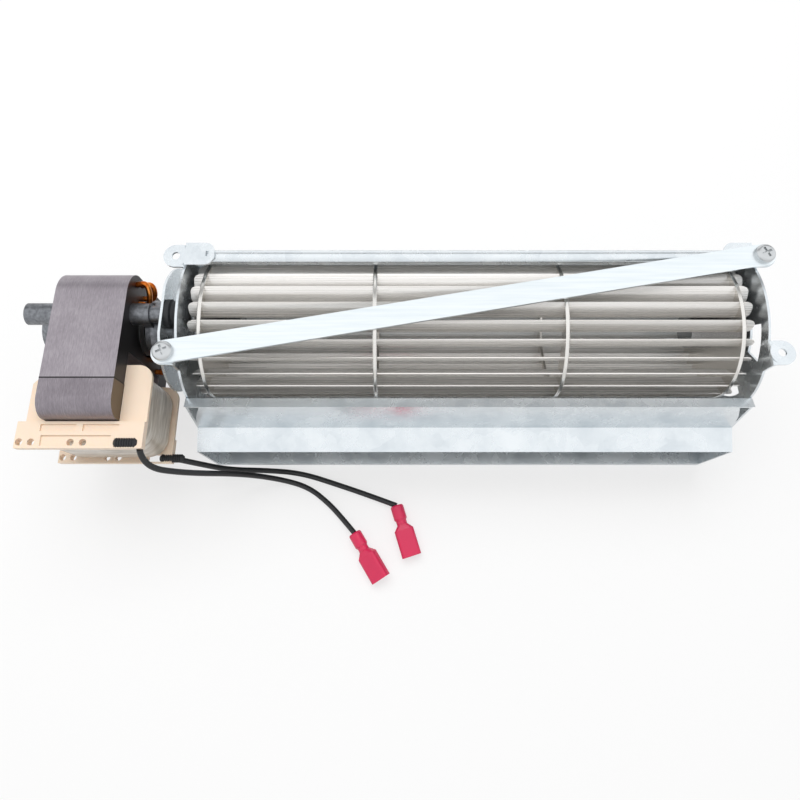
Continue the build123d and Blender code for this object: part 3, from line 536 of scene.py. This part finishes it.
# Setting: a white table and a white room, lit by the room's even fill and one wide soft lamp overhead.
# Reflections see a slightly brighter room, with a greyer band behind the object, and a dimmer table.
white_light = (1, 1, 1, 1)
fill_strength, room_strength = 0.62, 1.0
reflection_strength, cool_white = 1.22, (0.97, 0.985, 1.0, 1)
camera_share, reflection_share = 0.66, 0.1      # share of the table that shows plain white
room = bpy.data.worlds.new("white room")
bpy.context.scene.world = room
room.use_nodes = True
tree = room.node_tree
tree.nodes.clear()
ray = add_node(tree, "ShaderNodeLightPath")
seen = add_node(tree, "ShaderNodeMath", {"operation": "MAXIMUM"},
                {0: ray.outputs["Is Camera Ray"], 1: ray.outputs["Is Transmission Ray"]})
fill = add_node(tree, "ShaderNodeBackground", {"Color": white_light, "Strength": fill_strength})
wall = add_node(tree, "ShaderNodeBackground", {"Color": white_light, "Strength": room_strength})
gaze = add_node(tree, "ShaderNodeTexCoord")
way = add_node(tree, "ShaderNodeSeparateXYZ", None, {"Vector": gaze.outputs["Generated"]})
aim = add_node(tree, "ShaderNodeMapRange", {"From Min": -1.0, "From Max": 1.0},
               {"Value": way.outputs["Y"]})
panels = add_node(tree, "ShaderNodeValToRGB", {"stops": [
    (0.0, "#F0F0F0"), (0.2, "#F4F4F4"), (0.32, "#FFFFFF"), (0.76, "#FFFFFF"),
    (0.83, "#8C8C8C"), (0.88, "#8C8C8C"), (0.93, "#FFFFFF")]}, {"Fac": aim.outputs["Result"]})
bright = add_node(tree, "ShaderNodeMath", {"operation": "MULTIPLY", 1: reflection_strength},
                  {0: panels.outputs["Color"]})
mirror_wall = add_node(tree, "ShaderNodeBackground", {"Color": cool_white},
                       {"Strength": bright.outputs[0]})
light = add_node(tree, "ShaderNodeMixShader", None,
                 {0: ray.outputs["Is Glossy Ray"], 1: fill.outputs[0], 2: mirror_wall.outputs[0]})
whole = add_node(tree, "ShaderNodeMixShader", None,
                 {0: seen.outputs[0], 1: light.outputs[0], 2: wall.outputs[0]})
add_node(tree, "ShaderNodeOutputWorld", None, {"Surface": whole.outputs[0]})

lamp = bpy.data.objects.new("overhead softbox", bpy.data.lights.new("overhead softbox", "AREA"))
bpy.context.scene.collection.objects.link(lamp)
lamp.location = (-0.10, 0.35, 0.90)         # metres
lamp_target = Vector((0, 0, 0.04))
lamp.data.shape = "RECTANGLE"
lamp.data.size, lamp.data.size_y = 0.9, 0.6
lamp.data.energy = 6.0
lamp.rotation_euler = (lamp_target - lamp.location).to_track_quat("-Z", "Y").to_euler()
lamp.visible_glossy = False

paper, tree, shader = new_material("white table", "#F4F4F4", 0.0, 0.9, specular_ior_level=0.0)
ray = add_node(tree, "ShaderNodeLightPath")
white = add_node(tree, "ShaderNodeEmission", {"Color": white_light, "Strength": 1.0})
glance = add_node(tree, "ShaderNodeMath", {"operation": "MULTIPLY", 1: reflection_share},
                  {0: ray.outputs["Is Glossy Ray"]})
share = add_node(tree, "ShaderNodeMath", {"operation": "MULTIPLY_ADD", 1: camera_share},
                 {0: ray.outputs["Is Camera Ray"], 2: glance.outputs[0]})
seen_table = add_node(tree, "ShaderNodeMixShader", None,
                      {0: share.outputs[0], 1: shader.outputs[0], 2: white.outputs[0]})
tree.links.new(seen_table.outputs[0], tree.nodes["Material Output"].inputs["Surface"])
table_mesh = bpy.data.meshes.new("table")
half_table = 3                              # metres
table_mesh.from_pydata([(-half_table, -half_table, 0), (half_table, -half_table, 0),
                        (half_table, half_table, 0), (-half_table, half_table, 0)],
                       [], [(0, 1, 2, 3)])
table_mesh.materials.append(paper)
table = bpy.data.objects.new("table", table_mesh)
bpy.context.scene.collection.objects.link(table)

bpy.context.scene.view_settings.view_transform = "Standard"
